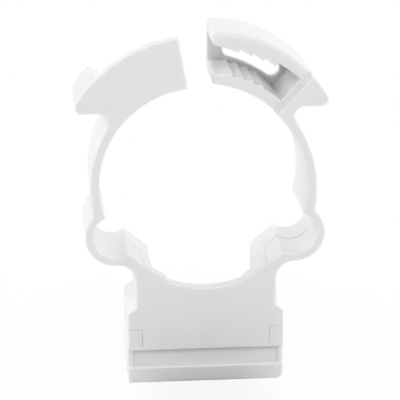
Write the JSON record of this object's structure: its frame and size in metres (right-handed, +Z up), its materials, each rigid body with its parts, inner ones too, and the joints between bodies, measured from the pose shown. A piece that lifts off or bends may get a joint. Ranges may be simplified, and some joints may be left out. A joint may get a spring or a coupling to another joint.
{
  "type": "pipe clip",
  "caption": "One-piece moulded plastic pipe clip with two springy arms on hinge loops, a ratchet tongue and toothed housing, on a base with a grooved rail foot.",
  "frame": {"origin": "middle of the foot's underside", "axes": "+Z up from the foot to the clip's mouth, +Y along the pipe from front to back, +X from the tongue arm to the housing arm"},
  "size_m": [0.0631, 0.022, 0.0908],
  "materials": {
    "white_plastic": "satin moulded"
  },
  "bodies": {
    "root": {"pipe_clip": "white_plastic"}
  },
  "joints": []
}
